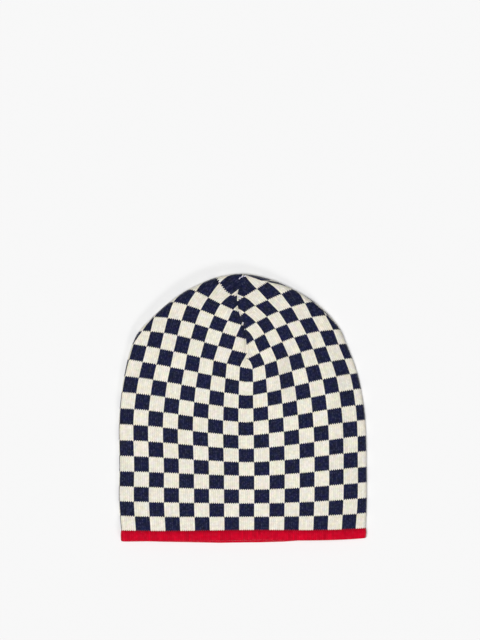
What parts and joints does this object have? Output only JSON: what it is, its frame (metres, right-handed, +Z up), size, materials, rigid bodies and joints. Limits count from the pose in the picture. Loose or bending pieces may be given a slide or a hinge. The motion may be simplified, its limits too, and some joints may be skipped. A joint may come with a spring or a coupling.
{
  "type": "knitted beanie",
  "caption": "Soft knitted beanie lying flat: a four-gore bag in a two-colour check, closed by sewn darts at the crown, with a plain knit band along the open mouth.",
  "frame": {"origin": "middle of the underside, on the surface that the beanie lies on", "axes": "+Z up from that surface, +Y from the open mouth towards the crown's apex, +X to the wearer's left when the front lies uppermost"},
  "size_m": [0.2186, 0.2363, 0.013],
  "materials": {
    "crown_knit": "fine two-colour jacquard knit in cream and navy checks, matt and slightly fuzzy",
    "band_knit": "fine single-colour red knit, matt and slightly fuzzy"
  },
  "bodies": {
    "root": {"crown": "crown_knit", "edge_band": "band_knit"}
  },
  "joints": []
}
